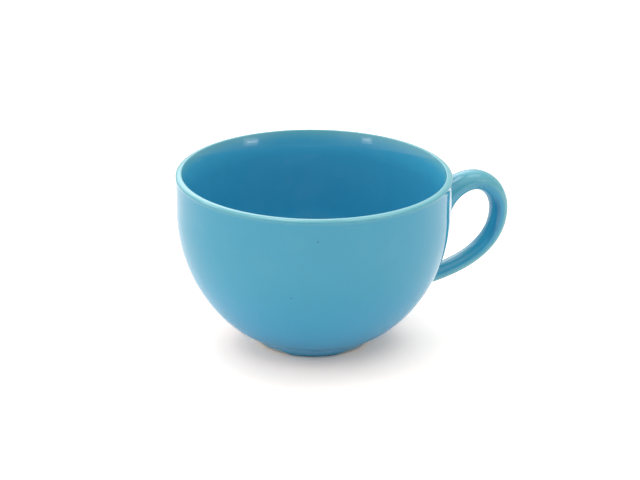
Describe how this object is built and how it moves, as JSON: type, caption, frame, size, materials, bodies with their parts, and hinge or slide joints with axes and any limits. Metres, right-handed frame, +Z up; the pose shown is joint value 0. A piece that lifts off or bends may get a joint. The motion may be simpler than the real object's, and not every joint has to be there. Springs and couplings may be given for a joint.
{
  "type": "coffee cup",
  "caption": "Round-sided glazed ceramic coffee cup with an upright rim, a low turned foot ring and a looped ear handle, for hot drinks.",
  "frame": {"origin": "middle of the whole cup's length and width, on the plane that its foot stands on", "axes": "+X from the bowl's axis towards the handle, along the cup's length; +Z up along the bowl's axis"},
  "size_m": [0.1328, 0.1046, 0.0664],
  "materials": {
    "glaze": "glossy turquoise blue glaze, paler where it thins on the lip and edges",
    "foot": "the same glaze down the outside, ending at a bare pale clay edge that meets the table"
  },
  "bodies": {
    "root": {"bowl": "glaze", "foot_ring": "foot", "handle": "glaze", "upper_handle_slip": "glaze", "lower_handle_slip": "glaze"}
  },
  "joints": []
}
